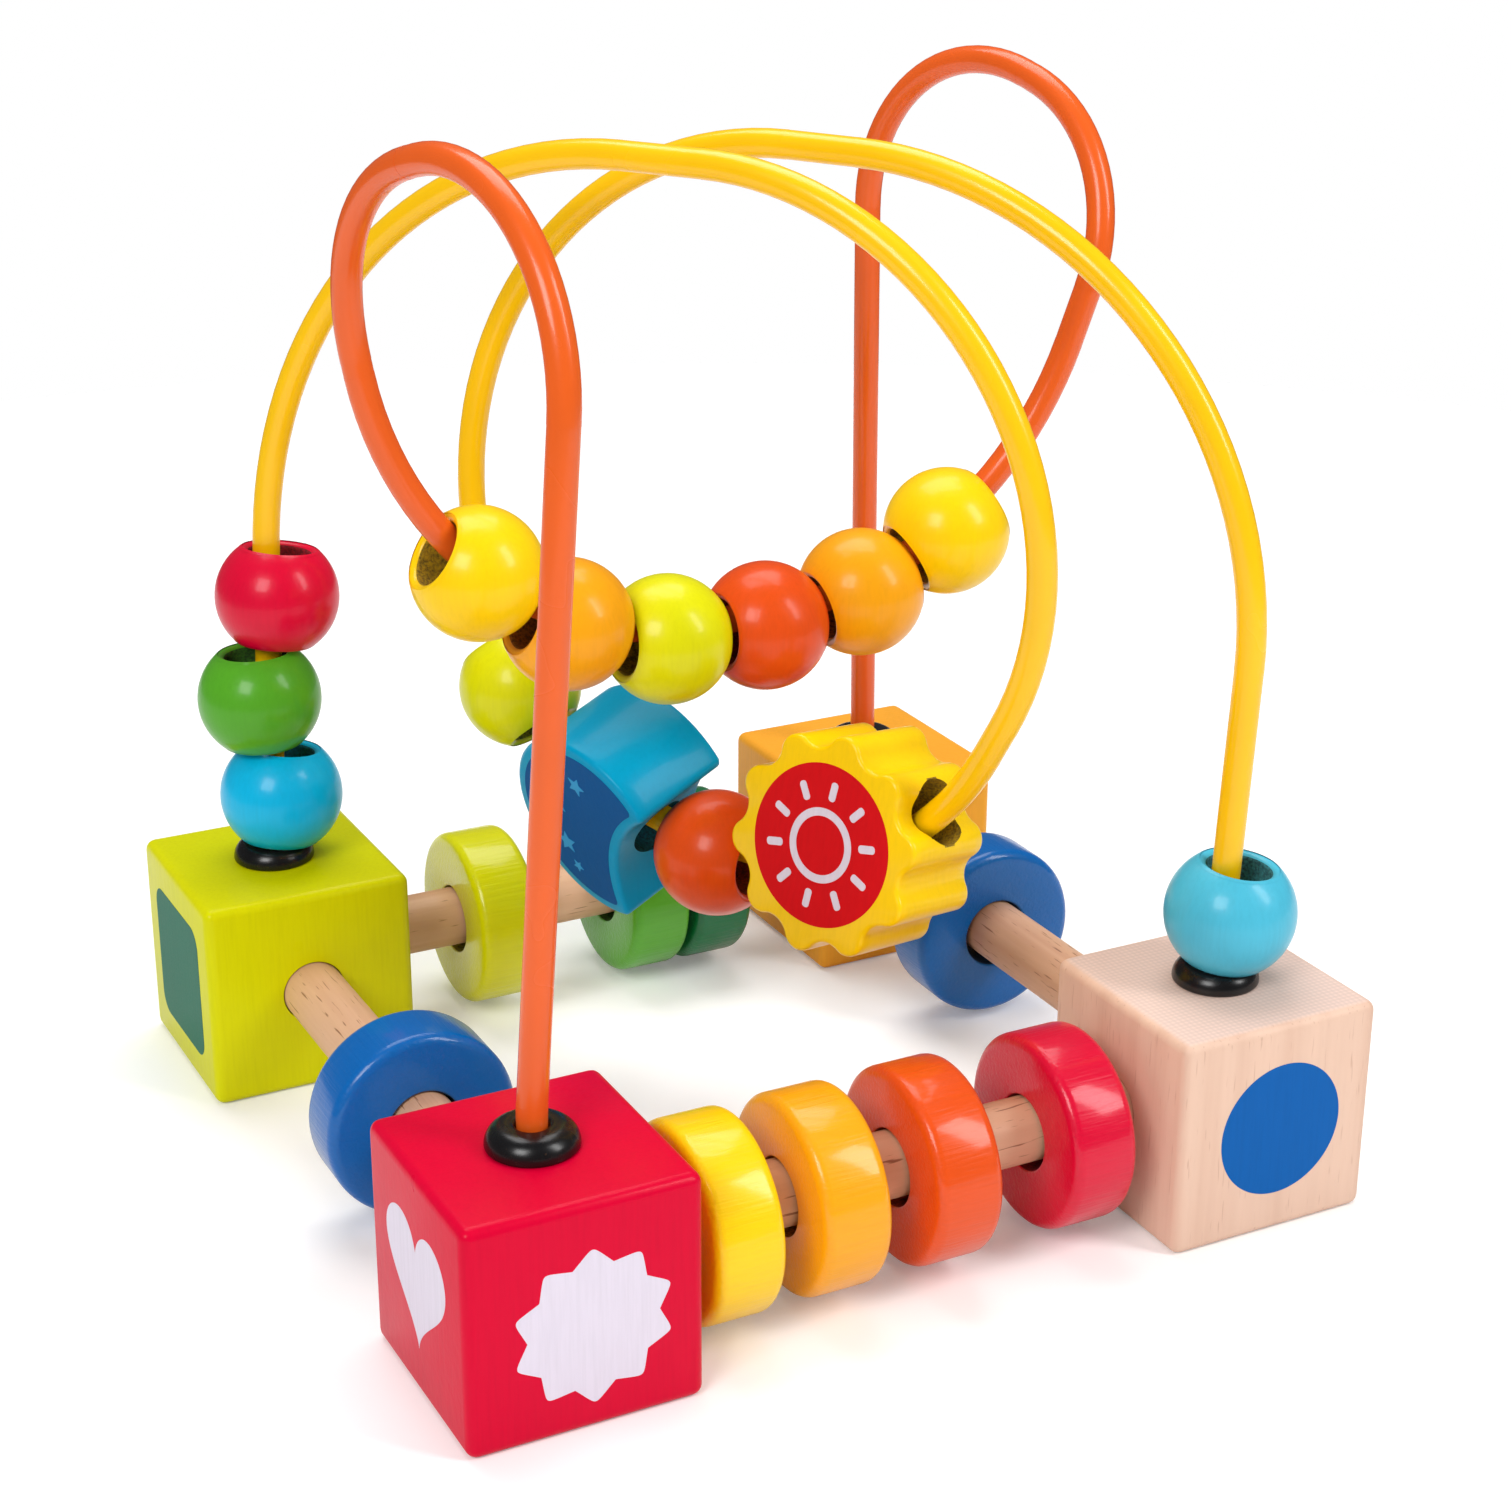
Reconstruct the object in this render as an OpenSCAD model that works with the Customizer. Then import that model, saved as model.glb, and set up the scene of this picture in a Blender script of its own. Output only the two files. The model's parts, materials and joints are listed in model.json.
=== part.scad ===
// Bead maze: four corner blocks joined by dowel rails, with two bent wires crossing above them.
// Discs slide along the rails; beads, a sun block and a moon block ride on the wires.
// Millimetres, Z up; the origin is the middle of the base, on the floor.

/* [Blocks] */
// Edge length of each corner block
block = 41.6; // [34:0.2:50]
// Rounding radius of the block edges
block_round = 2; // [0.6:0.1:4]
// Centre spacing of the blocks along X
span_x = 134.6; // [126:0.2:170]
// Centre spacing of the blocks along Y
span_y = 130.8; // [122:0.2:170]

/* [Rails and discs] */
// Diameter of the dowel rails
rail_d = 12; // [9:0.2:15]
// How deep each rail end sits in its block
rail_depth = 11; // [6:0.5:13]
// Thickness of a sliding disc
disc_t = 13; // [8:0.5:16]
// Extra width of a disc's bore over the rail
disc_play = 2; // [1:0.1:4]
// Gap between the discs and the floor
disc_floor = 2.2; // [1:0.1:5]
// Rounding radius of the disc rims
disc_round = 2; // [0.5:0.1:2.5]
// Free run before each front-rail disc, as a share of all the free rail
front_free = [0.096, 0.174, 0.216, 0.352]; // [0:0.001:1]
// Free run before each back-rail disc, as a share of all the free rail
back_free = [0.306, 0.385, 0.029]; // [0:0.001:1]
// Free run before the left-rail disc
left_free = 0.383; // [0:0.001:1]
// Free run before the right-rail disc
right_free = 0.693; // [0:0.001:1]

/* [Wires] */
// Diameter of the coated wires
wire_d = 5.2; // [4:0.1:6]
// How deep each wire end sits in its block
wire_depth = 19; // [12:0.5:26]
// Height of the tallest bend corner above the block tops
rise = 163.2; // [145:0.2:190]
// Orange wire, rising bend over the red block: x share, y share, height share, radius
orange_1 = [-0.847, -1.040, 1.000, 33]; // [-2:0.001:90]
// Orange wire, falling bend of the left loop
orange_2 = [-1.070, 0.061, 0.878, 35]; // [-2:0.001:90]
// Orange wire, left end of the valley
orange_3 = [-0.862, -0.015, 0.364, 63.5]; // [-2:0.001:90]
// Orange wire, right end of the valley
orange_4 = [0.862, 0.046, 0.357, 63.5]; // [-2:0.001:90]
// Orange wire, falling bend of the right loop
orange_5 = [1.233, -0.092, 0.866, 32]; // [-2:0.001:90]
// Orange wire, rising bend over the orange block
orange_6 = [0.958, 0.963, 1.000, 33]; // [-2:0.001:90]
// Yellow wire, shoulder over the lime block
yellow_1 = [-0.884, 1.118, 0.882, 81]; // [-2:0.001:90]
// Yellow wire, far shoulder of the near arch
yellow_2 = [0.649, -1.576, 0.892, 62.7]; // [-2:0.001:90]
// Yellow wire, near end of the valley
yellow_3 = [0.273, -0.557, 0.089, 60]; // [-2:0.001:90]
// Yellow wire, far end of the valley
yellow_4 = [-0.257, 0.524, 0.097, 60]; // [-2:0.001:90]
// Yellow wire, far shoulder of the back arch
yellow_5 = [-0.627, 1.573, 0.884, 65.2]; // [-2:0.001:90]
// Yellow wire, shoulder over the natural block
yellow_6 = [1.006, -1.124, 0.871, 78.5]; // [-2:0.001:90]

/* [Grommets] */
// Outer diameter of the grommets
grommet_d = 15.8; // [12:0.2:18]
// Height of a grommet above its block
grommet_h = 4.1; // [3:0.1:6]

/* [Beads] */
// Diameter of the round beads
bead_d = 24; // [20:0.2:26]
// Bore through a bead
bore = 11.8; // [11:0.1:14]
// How much wider a bead's bore opens at its mouths
mouth_flare = 2.4; // [1:0.1:4]
// Share of the wire's slope that the beads in the high valley follow
row_follow = 0.77; // [0.6:0.01:1]
// Opening between neighbouring beads in the high valley
row_open = 0.9; // [0.8:0.1:3]
// How far the beads on an upright wire end lean off it
stack_lean = 2; // [0:0.1:2.2]
// Degrees that the stacked beads tip to either side
stack_tip = 5; // [0:0.5:8]
// Degrees that the bead over the natural block tips
corner_tip = 6.5; // [0:0.5:8]
// How far a bead's mouth sinks over the dome of a grommet
dome_sink = 0.9; // [0:0.1:1.4]

/* [Sun and moon] */
// Outer diameter of the sun block over its lobes
sun_d = 41.4; // [34:0.2:44]
// Number of lobes around the sun
sun_lobes = 10; // [8:2:14]
// Depth of the notches between the lobes
sun_notch = 2.9; // [1:0.1:4]
// Outer diameter of the moon block
moon_d = 40.2; // [34:0.5:44]
// Depth of the bite out of the moon
moon_bite = 12.4; // [8:0.2:16]
// Thickness of the sun and moon blocks
shape_t = 21.6; // [18:0.2:26]
// Bore through the sun and moon blocks
shape_bore = 12.4; // [11:0.1:14]
// Turn of the sun's face about the wire
sun_roll = 168; // [0:1:360]
// Turn of the moon's face about the wire
moon_roll = 200; // [0:1:360]

/* [Hidden] */
$fn = 72;
fit = 0.1;
rest = 0.3;
ease = 0.1;
ax = span_x / 2;
ay = span_y / 2;
rail_z = block / 2;
gap_x = span_x - block;
gap_y = span_y - block;
disc_bore = rail_d + disc_play;
disc_drop = disc_play / 2 - rest;
disc_d = 2 * (rail_z - disc_drop - disc_floor);
root_h = 6;
root_r = 40;
min_run = 1.5;
lap = 0.6;
bend_swell = 0.03;
neck_wall = 2;
neck_d = wire_d + 2 * neck_wall;
neck_h = 5;
bore_gap = (bore - wire_d) / 2 - rest;
mouth_d = bore + mouth_flare;
bead_len = sqrt(bead_d * bead_d - mouth_d * mouth_d);
at_red = [-ax, -ay];
at_natural = [ax, -ay];
at_orange = [ax, ay];
at_lime = [-ax, ay];
orange_bends = [orange_1, orange_2, orange_3, orange_4, orange_5, orange_6];
yellow_bends = [yellow_1, yellow_2, yellow_3, yellow_4, yellow_5, yellow_6];

// Directions
function unit(v) = v / norm(v);
function side(d) = unit(cross(d, [0, 0, 1]));
function above(d) = cross(side(d), d);
function sum(v, n) = n <= 0 ? 0 : v[n - 1] + sum(v, n - 1);

// A wire is a row of corner points, each rounded to its bend radius
function corners(from, bends, to) = concat(
    [[from[0], from[1], block - wire_depth], [from[0], from[1], block + root_h]],
    [for (b = bends) [b[0] * ax, b[1] * ay, block + b[2] * rise]],
    [[to[0], to[1], block + root_h], [to[0], to[1], block - wire_depth]]
);
function radii(bends) = concat([root_r], [for (b = bends) b[3]], [root_r]);
function lengths(p) = [for (i = [0:len(p) - 2]) norm(p[i + 1] - p[i])];
function headings(p) = [for (i = [0:len(p) - 2]) unit(p[i + 1] - p[i])];
function turns(d) = [for (i = [0:len(d) - 2]) acos(max(-1, min(1, d[i] * d[i + 1])))];
function tangents(t, r) = concat([0], [for (i = [0:len(t) - 1]) r[i] * tan(t[i] / 2)], [0]);
// Share of the asked radius that still leaves a straight run at both sides of a bend
function share(i, l, g) = min(
    1,
    (l[i] - min_run) / (g[i] + g[i + 1]),
    (l[i + 1] - min_run) / (g[i + 1] + g[i + 2])
);
// The rounded wire as runs of [start, heading, length, radius, axis]; radius 0 is straight
function runs(p, r) =
    let (l = lengths(p), d = headings(p), t = turns(d), g = tangents(t, r))
    let (k = [for (i = [0:len(t) - 1]) share(i, l, g)])
    let (e = concat([0], [for (i = [0:len(t) - 1]) g[i + 1] * k[i]], [0]))
    [for (i = [0:len(d) - 1]) each concat(
        [[p[i] + d[i] * e[i], d[i], l[i] - e[i] - e[i + 1], 0, [0, 0, 1]]],
        i == len(t) ? [] : [[
            p[i + 1] - d[i] * e[i + 1], d[i], r[i] * k[i] * t[i] * PI / 180,
            r[i] * k[i], unit(cross(d[i], d[i + 1]))
        ]]
    )];
// Point and heading at a distance along a run, and along a whole wire
function run_at(q, s) = q[3] == 0 ? [q[0] + s * q[1], q[1]] : bend_at(q, s / q[3] * 180 / PI);
function bend_at(q, a) =
    let (m = cross(q[4], q[1]))
    [q[0] + q[3] * (sin(a) * q[1] + (1 - cos(a)) * m), cos(a) * q[1] + sin(a) * m];
function wire_at(w, s, i = 0) =
    s <= w[i][2] || i == len(w) - 1 ? run_at(w[i], s) : wire_at(w, s - w[i][2], i + 1);
// Distance along a wire to the middle of its valley, which is its ninth run
function valley(w) = sum([for (q = w) q[2]], 8) + w[8][2] / 2;

orange_wire = runs(corners(at_red, orange_bends, at_orange), radii(orange_bends));
yellow_wire = runs(corners(at_lime, yellow_bends, at_natural), radii(yellow_bends));
orange_mid = valley(orange_wire);
yellow_mid = valley(yellow_wire);

// How far a straight bore hangs below a wire bent to a radius
function sag(half, r) = half * half / (2 * r);
// Play left at the end of a bore, where the wire crosses it at a slant
function slant_gap(d, angle) = d / 2 - rest - wire_d / 2 / cos(angle);
function end_gap(reach, r) = slant_gap(shape_bore, reach / r * 180 / PI);
top_r = min(orange_wire[7][3], orange_wire[9][3]);
low_r = min(yellow_wire[7][3], yellow_wire[9][3]);
low_hang = bore_gap - sag(bead_len / 2, low_r);
// On the short straight between two bends only the bead's ends reach the bends
low_orange_s = 1.5;
low_reach = bead_len / 2 + abs(low_orange_s) - yellow_wire[8][2] / 2;
low_mid_hang = bore_gap - sag(max(0, low_reach), low_r);

// Beads in the high valley press together, so each lies flatter than the wire inside it
bore_half = (bead_len - mouth_flare) / 2;
function slope(d) = asin(d[2]);
function flatter(d) =
    let (a = row_follow * slope(d), f = unit([d[0], d[1], 0]))
    [f[0] * cos(a), f[1] * cos(a), sin(a)];
function row_hang(d) =
    let (a = (1 - row_follow) * abs(slope(d)))
    slant_gap(bore, a + bore_half / top_r * 180 / PI) - sag(bore_half, top_r) - bore_half * tan(a) - ease;
top_pitch = bead_len + row_open;
top_shift = -3.3;
// Stacked beads touch at the rims that they tip together
stack_step = bead_len * cos(stack_tip) + mouth_d / 2 * sin(stack_tip) + rest;
foot_s = wire_depth + grommet_h - dome_sink + rest + bead_len / 2;
yellow_len = sum([for (q = yellow_wire) q[2]], len(yellow_wire));

// Places along the low valley, measured from its middle; the sun and the lime bead keep off their neighbours
sun_off = 2.7258;
lime_off = 2.2;
sun_s = low_orange_s - (bead_len + sun_d) / 2 - sun_off;
sun_aim = -2.5;
sun_yaw = 4;
sun_side = 1.2;
sun_lift = sqrt(pow(end_gap(0, low_r), 2) - sun_side * sun_side) - rest - ease;
moon_s = 23.4;
moon_aim = 6.5;
moon_side = 1.1;
moon_bite_r = moon_d * 0.65;
moon_back = moon_d / 2 - moon_bite + sag(shape_bore / 2, moon_bite_r);
moon_reach = max(moon_d / 2 - moon_aim, moon_back + moon_aim);
moon_hang = sqrt(pow(end_gap(moon_reach, low_r), 2) - moon_side * moon_side) - ease;
moon_drop = moon_hang - sag(moon_reach, low_r) + sag(moon_aim, low_r);
low_lime_s = moon_s + (moon_d + bead_len) / 2 + lime_off;

// Puts a child's origin at o, its Z along z and its X toward x
module place(o, z, x) {
    u = unit(x - (x * z) * z);
    v = cross(z, u);
    multmatrix([
        [u[0], v[0], z[0], o[0]],
        [u[1], v[1], z[1], o[1]],
        [u[2], v[2], z[2], o[2]],
        [0, 0, 0, 1]
    ]) children();
}

// Square outline with rounded corners
module round_square(w, r) {
    square([w, w - 2 * r], center = true);
    square([w - 2 * r, w], center = true);
    for (x = [-1, 1], y = [-1, 1])
        translate([x * (w / 2 - r), y * (w / 2 - r)]) circle(r);
}

// Corner block; its rails leave toward in_x and in_y
module corner_block(at, in_x, in_y) {
    translate([at[0], at[1], block / 2])
        difference() {
            intersection() {
                linear_extrude(block, center = true) round_square(block, block_round);
                rotate([90, 0, 0]) linear_extrude(block, center = true) round_square(block, block_round);
                rotate([0, 90, 0]) linear_extrude(block, center = true) round_square(block, block_round);
            }
            translate([in_x * (block / 2 - rail_depth), 0, 0])
                rotate([0, in_x * 90, 0]) cylinder(d = rail_d + 2 * fit, h = rail_depth + 1);
            translate([0, in_y * (block / 2 - rail_depth), 0])
                rotate([-in_y * 90, 0, 0]) cylinder(d = rail_d + 2 * fit, h = rail_depth + 1);
            translate([0, 0, block / 2 - wire_depth - lap - rest])
                cylinder(d = wire_d + 2 * fit, h = wire_depth + 2);
            translate([0, 0, block / 2 - neck_h - fit])
                cylinder(d = neck_d + 2 * fit, h = neck_h + 1);
        }
}

// Dowel rail along Z, centred, with eased ends
module rail(gap) {
    l = gap + 2 * rail_depth - 2 * fit;
    tip = 0.8;
    rotate_extrude()
        polygon([
            [0, -l / 2], [rail_d / 2 - tip, -l / 2], [rail_d / 2, tip - l / 2],
            [rail_d / 2, l / 2 - tip], [rail_d / 2 - tip, l / 2], [0, l / 2]
        ]);
}

// Domed grommet with a neck that fills the top of the block's bore
module grommet(at) {
    r_in = wire_d / 2 + 0.15;
    r_top = grommet_d / 2 - grommet_h;
    color([0.06, 0.06, 0.07]) translate([at[0], at[1], block])
        rotate_extrude()
            union() {
                translate([r_in, 0]) square([r_top - r_in, grommet_h]);
                intersection() {
                    translate([r_top, 0]) circle(grommet_h);
                    translate([r_top, 0]) square(grommet_h);
                }
                translate([r_in, -neck_h]) square([neck_d / 2 - r_in, neck_h + 1]);
            }
}

// Bent wire: straight runs lap a little into the bends on both sides
module bent_wire(w) {
    for (q = w)
        if (q[3] == 0)
            place(q[0] - lap * q[1], q[1], abs(q[1][2]) > 0.9 ? [1, 0, 0] : [0, 0, 1])
                cylinder(d = wire_d, h = q[2] + 2 * lap);
        else
            place(q[0] + q[3] * cross(q[4], q[1]), q[4], -cross(q[4], q[1]))
                rotate_extrude(angle = q[2] / q[3] * 180 / PI)
                    translate([q[3], 0]) circle(d = wire_d + 2 * bend_swell);
}

// Sliding disc about Z with rounded rims
module disc() {
    r = disc_d / 2;
    e = disc_round;
    rotate_extrude()
        union() {
            translate([disc_bore / 2, -disc_t / 2]) square([r - e - disc_bore / 2, disc_t]);
            translate([disc_bore / 2, e - disc_t / 2]) square([r - disc_bore / 2, disc_t - 2 * e]);
            for (y = [-1, 1]) translate([r - e, y * (disc_t / 2 - e)]) circle(e);
        }
}

// Middle of disc k on a rail of free runs given as shares
function disc_at(gap, n, free, k) =
    -gap / 2 + sum(free, k + 1) * (gap - n * disc_t) + (k + 0.5) * disc_t;
module disc_x(y, gap, n, free, k) {
    translate([disc_at(gap, n, free, k), y, rail_z - disc_drop]) rotate([0, 90, 0]) disc();
}
module disc_y(x, gap, free) {
    translate([x, disc_at(gap, 1, [free], 0), rail_z - disc_drop]) rotate([90, 0, 0]) disc();
}

// Round bead about Z with flared bore mouths
module bead() {
    flare_h = mouth_flare;
    difference() {
        sphere(d = bead_d);
        cylinder(d = bore, h = bead_d + 2, center = true);
        for (m = [0, 1]) mirror([0, 0, m])
            translate([0, 0, bead_len / 2 - flare_h / 2])
                cylinder(d1 = bore, d2 = bore + 4 * mouth_flare, h = 2 * flare_h);
    }
}

// Bead hanging on a wire, and bead leaning on an upright wire end
module hung_bead(w, s, hang) {
    q = wire_at(w, s);
    place(q[0] - hang * above(q[1]), q[1], [0, 0, 1]) bead();
}
module leaning_bead(w, s, lean, tip) {
    q = wire_at(w, s);
    u = unit([1, 0, 0] - q[1][0] * q[1]);
    place(q[0] + lean * u, cos(tip) * q[1] + sin(tip) * u, [1, 0, 0]) bead();
}

// Scalloped outline: round lobes run into round notches
module sun_outline() {
    r = sun_d / 2;
    a = sun_d * 0.085;
    c = r - a;
    m = r - sun_notch;
    k = cos(180 / sun_lobes);
    b = (c * c + m * m - 2 * c * m * k - a * a) / (2 * a - 2 * m + 2 * c * k);
    meet = a / (a + b) * ((m + b) * [k, sin(180 / sun_lobes)] - [c, 0]) + [c, 0];
    difference() {
        union() {
            circle(norm(meet));
            for (i = [0:sun_lobes - 1])
                rotate((i + 0.5) * 360 / sun_lobes) translate([c, 0]) circle(a);
        }
        for (i = [0:sun_lobes - 1])
            rotate(i * 360 / sun_lobes) translate([m + b, 0]) circle(b + 0.04);
    }
}

// Crescent outline with the bite toward +X and blunted tips
module moon_outline() {
    r = moon_d / 2;
    tip = r * 0.61;
    difference() {
        circle(r);
        translate([r - moon_bite + moon_bite_r, 0]) circle(moon_bite_r);
        translate([tip, -r]) square(2 * r);
    }
}

// Block cut from an outline, its bore along Z and its face toward X
module bored_shape() {
    difference() {
        rotate([0, 90, 0]) linear_extrude(shape_t, center = true) children();
        cylinder(d = shape_bore, h = sun_d + moon_d, center = true);
    }
}
function yawed(d, a) = [d[0] * cos(a) - d[1] * sin(a), d[0] * sin(a) + d[1] * cos(a), d[2]];
module on_low_wire(s, aim, yaw, lift, across, roll) {
    o = wire_at(yellow_wire, yellow_mid + s)[0];
    d = yawed(wire_at(yellow_wire, yellow_mid + s + aim)[1], yaw);
    place(o + lift * above(d) + across * side(d), d, cos(roll) * side(d) + sin(roll) * above(d)) children();
}

// Corner blocks
module block_red() color([0.86, 0.02, 0.22]) corner_block(at_red, 1, 1);
module block_natural() color([0.87, 0.70, 0.55]) corner_block(at_natural, -1, 1);
module block_orange() color([0.95, 0.53, 0.14]) corner_block(at_orange, -1, -1);
module block_lime() color([0.72, 0.80, 0.02]) corner_block(at_lime, 1, -1);

// Rails
module rail_front() color([0.80, 0.58, 0.42]) translate([0, -ay, rail_z]) rotate([0, 90, 0]) rail(gap_x);
module rail_back() color([0.80, 0.58, 0.42]) translate([0, ay, rail_z]) rotate([0, 90, 0]) rail(gap_x);
module rail_left() color([0.80, 0.58, 0.42]) translate([-ax, 0, rail_z]) rotate([90, 0, 0]) rail(gap_y);
module rail_right() color([0.80, 0.58, 0.42]) translate([ax, 0, rail_z]) rotate([90, 0, 0]) rail(gap_y);

// Grommets
module grommet_red() grommet(at_red);
module grommet_natural() grommet(at_natural);
module grommet_orange() grommet(at_orange);
module grommet_lime() grommet(at_lime);

// Wires
module wire_orange() color([0.90, 0.30, 0.08]) bent_wire(orange_wire);
module wire_yellow() color([0.98, 0.72, 0.02]) bent_wire(yellow_wire);

// Discs
module disc_front_yellow() color([1.0, 0.82, 0.0]) disc_x(-ay, gap_x, 4, front_free, 0);
module disc_front_amber() color([0.97, 0.62, 0.05]) disc_x(-ay, gap_x, 4, front_free, 1);
module disc_front_orange() color([0.90, 0.32, 0.05]) disc_x(-ay, gap_x, 4, front_free, 2);
module disc_front_red() color([0.86, 0.03, 0.22]) disc_x(-ay, gap_x, 4, front_free, 3);
module disc_left_blue() color([0.0, 0.32, 0.66]) disc_y(-ax, gap_y, left_free);
module disc_right_blue() color([0.0, 0.32, 0.66]) disc_y(ax, gap_y, right_free);
module disc_back_lime() color([0.62, 0.76, 0.06]) disc_x(ay, gap_x, 3, back_free, 0);
module disc_back_green() color([0.30, 0.62, 0.18]) disc_x(ay, gap_x, 3, back_free, 1);
module disc_back_dark() color([0.0, 0.36, 0.18]) disc_x(ay, gap_x, 3, back_free, 2);

// Beads in the valley of the orange wire
module top_bead(k) {
    q = wire_at(orange_wire, orange_mid + top_shift + k * top_pitch);
    d = flatter(q[1]);
    place(q[0] - row_hang(q[1]) * above(d), d, [0, 0, 1]) bead();
}
module bead_top_yellow_a() color([0.98, 0.76, 0.0]) top_bead(-2.5);
module bead_top_amber_a() color([0.96, 0.55, 0.05]) top_bead(-1.5);
module bead_top_lime() color([0.78, 0.82, 0.02]) top_bead(-0.5);
module bead_top_vermilion() color([0.88, 0.24, 0.05]) top_bead(0.5);
module bead_top_amber_b() color([0.96, 0.55, 0.05]) top_bead(1.5);
module bead_top_yellow_b() color([0.98, 0.76, 0.0]) top_bead(2.5);

// Beads stacked over the lime block
module stack_bead(k, way)
    leaning_bead(yellow_wire, foot_s + k * stack_step, way * stack_lean, way * stack_tip);
module bead_stack_cyan() color([0.0, 0.62, 0.80]) stack_bead(0, 1);
module bead_stack_green() color([0.25, 0.58, 0.16]) stack_bead(1, -1);
module bead_stack_red() color([0.84, 0.03, 0.22]) stack_bead(2, 1);

// Pieces in the low valley of the yellow wire
module bead_low_lime()
    color([0.68, 0.78, 0.04]) hung_bead(yellow_wire, yellow_mid + low_lime_s, low_hang);
module bead_low_orange()
    color([0.88, 0.24, 0.05]) hung_bead(yellow_wire, yellow_mid + low_orange_s, low_mid_hang);
module moon()
    color([0.0, 0.60, 0.78]) on_low_wire(moon_s, moon_aim, 0, -moon_drop, moon_side, moon_roll)
        bored_shape() moon_outline();
module sun()
    color([1.0, 0.80, 0.0]) on_low_wire(sun_s, sun_aim, sun_yaw, sun_lift, sun_side, sun_roll)
        bored_shape() sun_outline();

// Bead over the natural block
module bead_corner_cyan()
    color([0.15, 0.66, 0.82])
        leaning_bead(yellow_wire, yellow_len - foot_s, stack_lean, -corner_tip);

block_red();
block_natural();
block_orange();
block_lime();
rail_front();
rail_left();
rail_right();
rail_back();
grommet_red();
grommet_natural();
grommet_orange();
grommet_lime();
wire_orange();
wire_yellow();
disc_front_yellow();
disc_front_amber();
disc_front_orange();
disc_front_red();
disc_left_blue();
disc_right_blue();
disc_back_lime();
disc_back_green();
disc_back_dark();
bead_top_yellow_a();
bead_top_amber_a();
bead_top_lime();
bead_top_vermilion();
bead_top_amber_b();
bead_top_yellow_b();
bead_stack_cyan();
bead_stack_green();
bead_stack_red();
bead_low_lime();
moon();
bead_low_orange();
sun();
bead_corner_cyan();
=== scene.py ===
import json
import math

import bpy
from mathutils import Matrix, Vector


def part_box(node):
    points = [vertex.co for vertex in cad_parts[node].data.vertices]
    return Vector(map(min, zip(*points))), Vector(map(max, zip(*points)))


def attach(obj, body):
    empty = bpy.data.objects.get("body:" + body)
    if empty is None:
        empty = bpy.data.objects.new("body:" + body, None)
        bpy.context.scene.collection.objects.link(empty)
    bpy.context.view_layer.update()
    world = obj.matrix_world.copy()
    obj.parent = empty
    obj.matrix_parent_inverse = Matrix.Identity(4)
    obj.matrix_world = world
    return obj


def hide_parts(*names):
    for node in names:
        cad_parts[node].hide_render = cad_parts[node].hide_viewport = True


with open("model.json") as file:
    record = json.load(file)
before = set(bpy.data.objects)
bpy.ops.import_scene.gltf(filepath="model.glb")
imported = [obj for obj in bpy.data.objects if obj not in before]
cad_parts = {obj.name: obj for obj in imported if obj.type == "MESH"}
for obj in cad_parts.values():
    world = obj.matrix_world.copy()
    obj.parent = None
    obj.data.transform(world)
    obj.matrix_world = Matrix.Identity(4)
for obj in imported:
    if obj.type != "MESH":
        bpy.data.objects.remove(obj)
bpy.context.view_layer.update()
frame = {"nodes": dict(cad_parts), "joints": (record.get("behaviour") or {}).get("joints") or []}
nodes = frame["nodes"]
joints = {joint["name"]: joint for joint in frame["joints"]}


# Sizes that the frame gives
def extent(name):
    low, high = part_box(name)
    return high - low


def centre_of(name):
    low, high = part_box(name)
    return (low + high) / 2


BLOCK = extent("block_red").x
RAIL_R = extent("rail_left").x / 2
GROMMET_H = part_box("grommet_red")[1].z - BLOCK
DISC_R = extent("disc_front_red").z / 2
DISC_T = extent("disc_front_red").x

# Sizes that follow the part's drawing, and the roundings and drills of the scene
MM = 0.001
BLOCK_EDGE = 2.0 * MM
RAIL_ROOM = 0.25 * MM
RAIL_DRILL = 16 * MM
GROMMET_R = 7.9 * MM
GROMMET_HOLE_R = 2.75 * MM
GROMMET_DOME = 3.5 * MM
GROMMET_LIP = 0.8 * MM
GROMMET_FOOT = 0.5 * MM
DISC_BORE_R = 7 * MM
DISC_RIM = 2.0 * MM
DISC_MOUTH = 0.5 * MM
BEAD_R = 12 * MM
BEAD_MOUTH_R = 7.1 * MM
BEAD_BORE_R = 5.9 * MM
BEAD_MOUTH_DEPTH = 1.0 * MM
BEAD_LIP = 0.9 * MM
BEAD_INNER_LIP = 0.5 * MM
SHAPE_T = 21.6 * MM
SHAPE_BORE_R = 6.2 * MM
SHAPE_DRILL = 60 * MM
SUN_R = 20.7 * MM
SUN_LOBE_R = 0.17 * SUN_R
SUN_NOTCH = 2.9 * MM
SUN_LOBES = 10
SUN_RIM = 0.8 * MM
MOON_R = 20.1 * MM
MOON_BITE = 12.4 * MM
MOON_BITE_R = 26.13 * MM
MOON_TIP_R = 1.6 * MM
MOON_RIM = 0.9 * MM

# How the sun and the moon sit on their wire
UP = Vector((0, 0, 1))
SUN_BORE = Vector((-0.4301, 0.7748, -0.4633))
SUN_ROLL = math.radians(168)
MOON_ROLL = math.radians(200)

# Sizes of the prints
FILM = 0.16 * MM
FILM_EDGE = 0.03 * MM
FILM_SINK = 0.02 * MM
SECOND_FILM_LIFT = 0.06 * MM
BURST_R = 14.0 * MM
BURST_NOTCH_R = 11.5 * MM
BURST_POINTS = 10
BURST_SPOT = (1.1 * MM, -1.7 * MM, 0)
HEART_WIDE = 26 * MM
HEART_TALL = 23 * MM
DOT_R = 12.9 * MM
DOT_SPOT = (0.8 * MM, 0, 0)
TILE = 27.6 * MM
TILE_CORNER = 4 * MM
SUN_PANEL_R = 15.0 * MM
HOOP_R = 6.9 * MM
HOOP_WIDE = 1.5 * MM
RAYS = 10
RAY_MIDDLE = 10.3 * MM
RAY_LONG = 3.6 * MM
RAY_WIDE = 1.5 * MM
RAY_ROUND = 0.6 * MM
NIGHT_INSET = 2.2 * MM
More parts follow.
